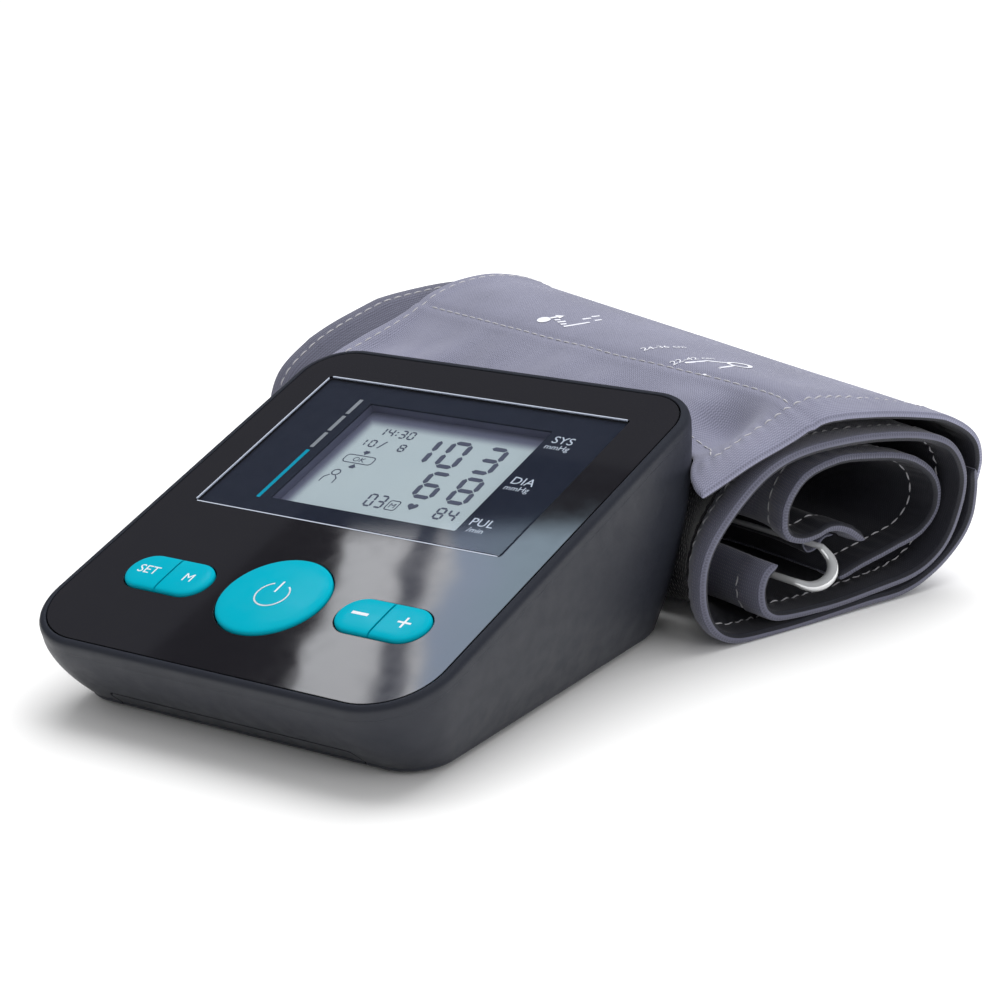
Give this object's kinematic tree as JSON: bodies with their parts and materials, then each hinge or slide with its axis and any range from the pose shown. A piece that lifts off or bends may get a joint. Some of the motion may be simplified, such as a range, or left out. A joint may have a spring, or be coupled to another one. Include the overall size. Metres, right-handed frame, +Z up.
{
  "type": "upper arm blood pressure monitor with cuff",
  "caption": "Wedge-shaped desktop blood pressure monitor with display, push buttons and battery door, joined by an air hose to a rolled fabric upper-arm cuff with flap and wire ring.",
  "frame": {"origin": "bottom centre of the bounding box of monitor and cuff together, on the table plane", "axes": "+X to the monitor's right, +Y to the back, where the cuff lies, +Z up"},
  "size_m": [0.1748, 0.1976, 0.0515],
  "materials": {
    "case_plastic": "fine-textured matt",
    "gloss_plastic": "polished",
    "window_plastic": "clear, smoke tinted, polished",
    "lcd_glass": "satin display",
    "teal_plastic": "polished",
    "black_plastic": "moulded",
    "connector_rubber": "soft",
    "circuit_board": "solder mask",
    "switch_plastic": "moulded",
    "battery_wrap": "printed wrap",
    "steel": "bright",
    "ring_chrome": "mirror bright",
    "pump_plastic": "moulded",
    "sensor_plastic": "moulded",
    "silicone_tube": "soft",
    "rubber": "soft",
    "plug_plastic": "moulded",
    "hose_rubber": "satin",
    "cuff_fabric": "coated woven nylon",
    "cuff_lining": "brushed nylon",
    "bladder_rubber": "soft",
    "loop_pile": "loop pile",
    "hook_patch": "moulded hooks"
  },
  "bodies": {
    "monitor": {"lower_housing": "case_plastic", "upper_housing": "case_plastic", "front_panel": "gloss_plastic", "display_window": "window_plastic", "lcd_glass": "lcd_glass", "lcd_holder": "black_plastic", "lcd_connector_strip": "connector_rubber", "main_board": "circuit_board", "start_stop_switch": "switch_plastic", "set_switch": "switch_plastic", "memory_switch": "switch_plastic", "minus_switch": "switch_plastic", "plus_switch": "switch_plastic", "battery_bay": "black_plastic", "battery_1": "battery_wrap", "battery_2": "battery_wrap", "battery_3": "battery_wrap", "battery_4": "battery_wrap", "battery_contact_front_left": "steel", "battery_contact_front_right": "steel", "battery_contact_rear_left": "steel", "battery_contact_rear_middle": "steel", "battery_contact_rear_right": "steel", "pump_motor": "steel", "pump_head": "pump_plastic", "release_valve": "steel", "pressure_sensor": "sensor_plastic", "air_manifold": "pump_plastic", "tube_to_valve": "silicone_tube", "tube_to_socket": "silicone_tube", "tube_to_pump": "silicone_tube", "case_screw_1": "steel", "case_screw_2": "steel", "case_screw_3": "steel", "case_screw_4": "steel", "rubber_foot_1": "rubber", "rubber_foot_2": "rubber", "rubber_foot_3": "rubber", "rubber_foot_4": "rubber", "hose_socket": "black_plastic", "air_hose": "hose_rubber"},
    "battery_door": {"battery_door": "case_plastic"},
    "start_stop_button": {"start_stop_button": "teal_plastic"},
    "set_button": {"set_button": "teal_plastic"},
    "memory_button": {"memory_button": "teal_plastic"},
    "minus_button": {"minus_button": "teal_plastic"},
    "plus_button": {"plus_button": "teal_plastic"},
    "hose_plug": {"hose_plug": "plug_plastic", "strain_relief": "rubber"},
    "cuff": {"cuff_outer_cover": "cuff_fabric", "cuff_inner_cover": "cuff_lining", "cuff_bladder": "bladder_rubber", "loop_patch": "loop_pile", "ring_sleeve": "cuff_fabric", "cuff_air_port": "plug_plastic"},
    "cuff_flap": {"cuff_flap": "cuff_fabric", "hook_patch": "hook_patch"},
    "cuff_ring": {"cuff_ring": "ring_chrome"}
  },
  "joints": [
    {"name": "start_stop_press", "type": "slide", "parent": "monitor", "child": "start_stop_button", "axis": [0, 0.299, -0.9542], "range_m": [0, 0.0005], "stiffness_N_per_m": 400},
    {"name": "set_press", "type": "slide", "parent": "monitor", "child": "set_button", "axis": [0, 0.299, -0.9542], "range_m": [0, 0.0005], "stiffness_N_per_m": 400},
    {"name": "memory_press", "type": "slide", "parent": "monitor", "child": "memory_button", "axis": [0, 0.299, -0.9542], "range_m": [0, 0.0005], "stiffness_N_per_m": 400},
    {"name": "minus_press", "type": "slide", "parent": "monitor", "child": "minus_button", "axis": [0, 0.299, -0.9542], "range_m": [0, 0.0005], "stiffness_N_per_m": 400},
    {"name": "plus_press", "type": "slide", "parent": "monitor", "child": "plus_button", "axis": [0, 0.299, -0.9542], "range_m": [0, 0.0005], "stiffness_N_per_m": 400},
    {"name": "door_slide", "type": "slide", "parent": "monitor", "child": "battery_door", "axis": [0, -1, 0], "range_m": [0, 0.06]},
    {"name": "plug_pull", "type": "slide", "parent": "monitor", "child": "hose_plug", "axis": [-1, 0, 0], "range_m": [0, 0.016], "deforming": ["air_hose"]},
    {"name": "cuff_slide", "type": "slide", "parent": "monitor", "child": "cuff", "axis": [0.3795, 0.9252, 0], "range_m": [0, 0.03], "deforming": ["air_hose"]},
    {"name": "flap_peel", "type": "hinge", "parent": "cuff", "child": "cuff_flap", "pos_m": [0.08701, 0.06028, 0.0325], "axis": [-0.9687, 0.2475, 0.0172], "range_deg": [0, 80]},
    {"name": "ring_swing", "type": "hinge", "parent": "cuff", "child": "cuff_ring", "pos_m": [0.06856, 0.02584, 0.0154], "axis": [-0.9689, 0.2475, 0], "range_deg": [-15, 45]}
  ]
}
